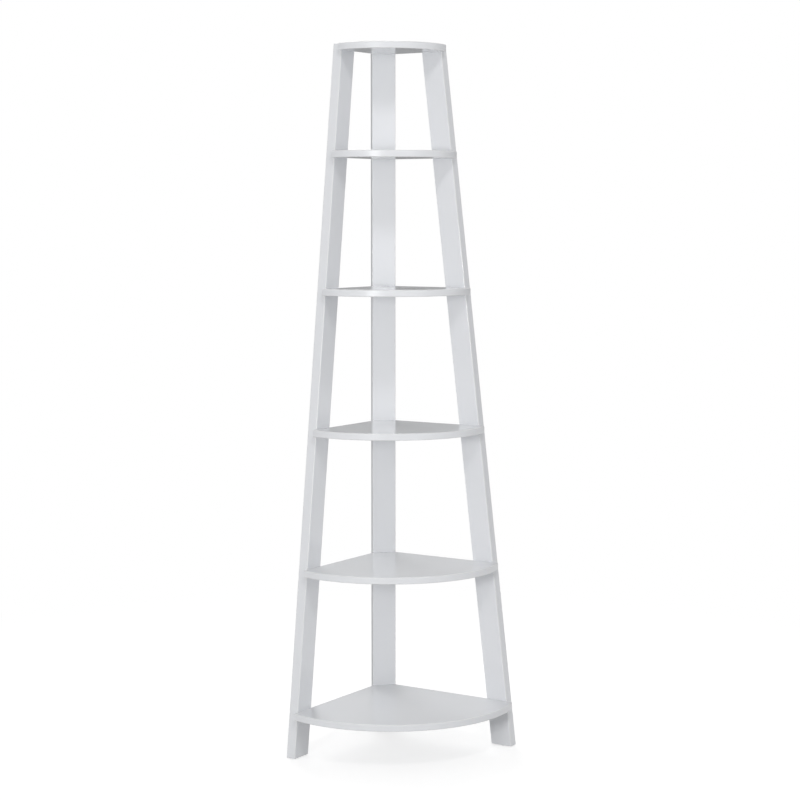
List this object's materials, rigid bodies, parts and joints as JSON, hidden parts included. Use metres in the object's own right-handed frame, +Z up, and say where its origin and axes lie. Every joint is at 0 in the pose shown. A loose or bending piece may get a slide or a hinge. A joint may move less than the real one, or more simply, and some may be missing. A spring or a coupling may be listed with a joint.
{
  "type": "corner ladder shelf",
  "caption": "Free-standing corner ladder shelf with curved-front boards that widen towards the floor, screwed and dowelled between leaning side legs and an upright rear post.",
  "frame": {"origin": "on the floor, below the middle of the whole shelf's bounding box", "axes": "+Z up, -Y towards the room and the curved front, +Y towards the room corner and the rear post, +X to the right of someone who faces the front"},
  "size_m": [0.5492, 0.4031, 1.65],
  "materials": {
    "white_lacquer": "satin",
    "zinc_steel": "satin",
    "beech": "matte",
    "white_cap_plastic": "satin",
    "grey_glide_plastic": "matte"
  },
  "bodies": {
    "root": {"left_leg": "white_lacquer", "right_leg": "white_lacquer", "rear_post": "white_lacquer", "bottom_shelf": "white_lacquer", "second_shelf": "white_lacquer", "third_shelf": "white_lacquer", "fourth_shelf": "white_lacquer", "fifth_shelf": "white_lacquer", "top_shelf": "white_lacquer", "left_leg_screws": "zinc_steel", "right_leg_screws": "zinc_steel", "rear_post_screws": "zinc_steel", "left_leg_screw_caps": "white_cap_plastic", "right_leg_screw_caps": "white_cap_plastic", "rear_post_screw_caps": "white_cap_plastic", "left_leg_dowels": "beech", "right_leg_dowels": "beech", "rear_post_dowels": "beech", "left_foot_glide": "grey_glide_plastic", "right_foot_glide": "grey_glide_plastic", "rear_foot_glide": "grey_glide_plastic"}
  },
  "joints": []
}
